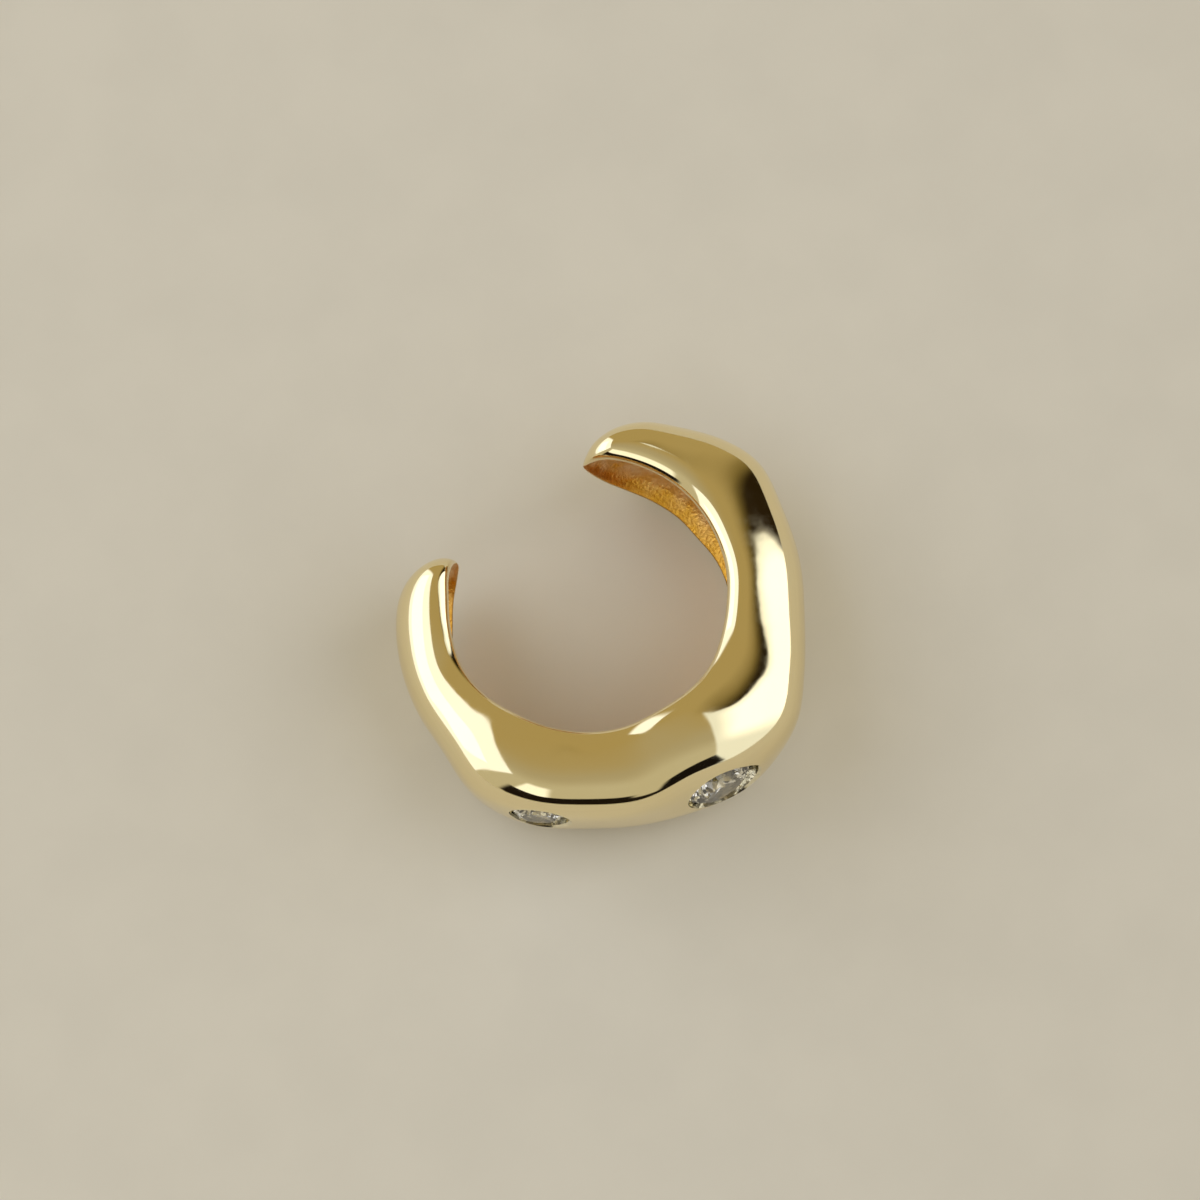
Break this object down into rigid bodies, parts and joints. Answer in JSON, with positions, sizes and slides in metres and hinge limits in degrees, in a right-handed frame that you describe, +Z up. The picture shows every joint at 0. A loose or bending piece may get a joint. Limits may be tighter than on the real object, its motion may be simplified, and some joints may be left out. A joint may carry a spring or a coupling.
{
  "type": "ear cuff",
  "caption": "Chunky open ear cuff: one cast, softly wavy gold band, hollow at the back, with rounded tips and clear round stones set flush in its outer face.",
  "frame": {"origin": "middle of the footprint's bounding box, on the surface that the cuff lies on", "axes": "+Z up along the axis of the round hollow, -Y to the front of the band where the main stone sits, +Y out through the gap, +X to the longer arm"},
  "size_m": [0.014, 0.012, 0.0051],
  "materials": {
    "gold": "pale gold, mirror polished outside and rougher as-cast metal in the hollow back",
    "clear_stone": "clear, colourless, facet cut and polished"
  },
  "bodies": {
    "root": {"cuff_band": "gold", "stone_main": "clear_stone", "stone_side": "clear_stone"}
  },
  "joints": []
}
